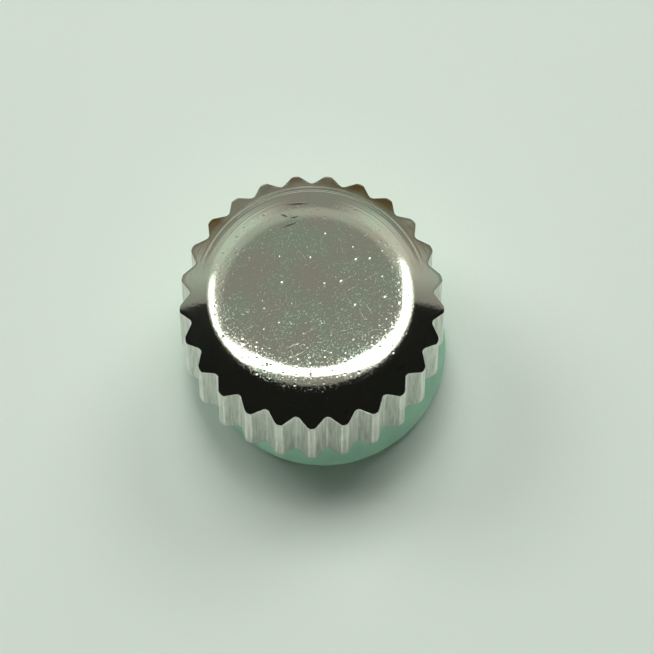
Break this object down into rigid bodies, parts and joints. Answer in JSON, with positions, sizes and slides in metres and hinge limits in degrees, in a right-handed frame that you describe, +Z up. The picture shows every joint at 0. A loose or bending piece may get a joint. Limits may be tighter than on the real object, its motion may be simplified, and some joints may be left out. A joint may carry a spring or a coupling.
{
  "type": "watch crown",
  "caption": "Screw-down watch crown with a fluted polished head, teal skirt seal, case-tube thread and spring-loaded stem post.",
  "frame": {"origin": "middle of the face that the skirt seal stands on", "axes": "+Z up along the crown's axis, out through the polished face; one tooth tip points along -Y, the front"},
  "size_m": [0.006, 0.006, 0.0043],
  "materials": {
    "polished_steel": "polished",
    "turned_steel": "fine turned",
    "nickel_silver": "fine turned",
    "spring_steel": "drawn",
    "teal_elastomer": "matt",
    "black_elastomer": "matt"
  },
  "bodies": {
    "head": {"fluted_shell": "polished_steel", "skirt_seal": "teal_elastomer", "threaded_sleeve": "nickel_silver", "gasket_washer": "turned_steel", "face_gasket": "black_elastomer", "centre_pipe": "turned_steel", "lower_o_ring": "black_elastomer", "upper_o_ring": "black_elastomer", "thrust_washer": "turned_steel", "return_spring": "spring_steel", "retaining_bush": "nickel_silver"},
    "post": {"stem_post": "turned_steel"}
  },
  "joints": [
    {"name": "post_slide", "type": "slide", "parent": "head", "child": "post", "axis": [0, 0, 1], "range_m": [0, 0.0008], "stiffness_N_per_m": 440, "springref_m": -0.0005, "deforming": ["return_spring"]}
  ]
}
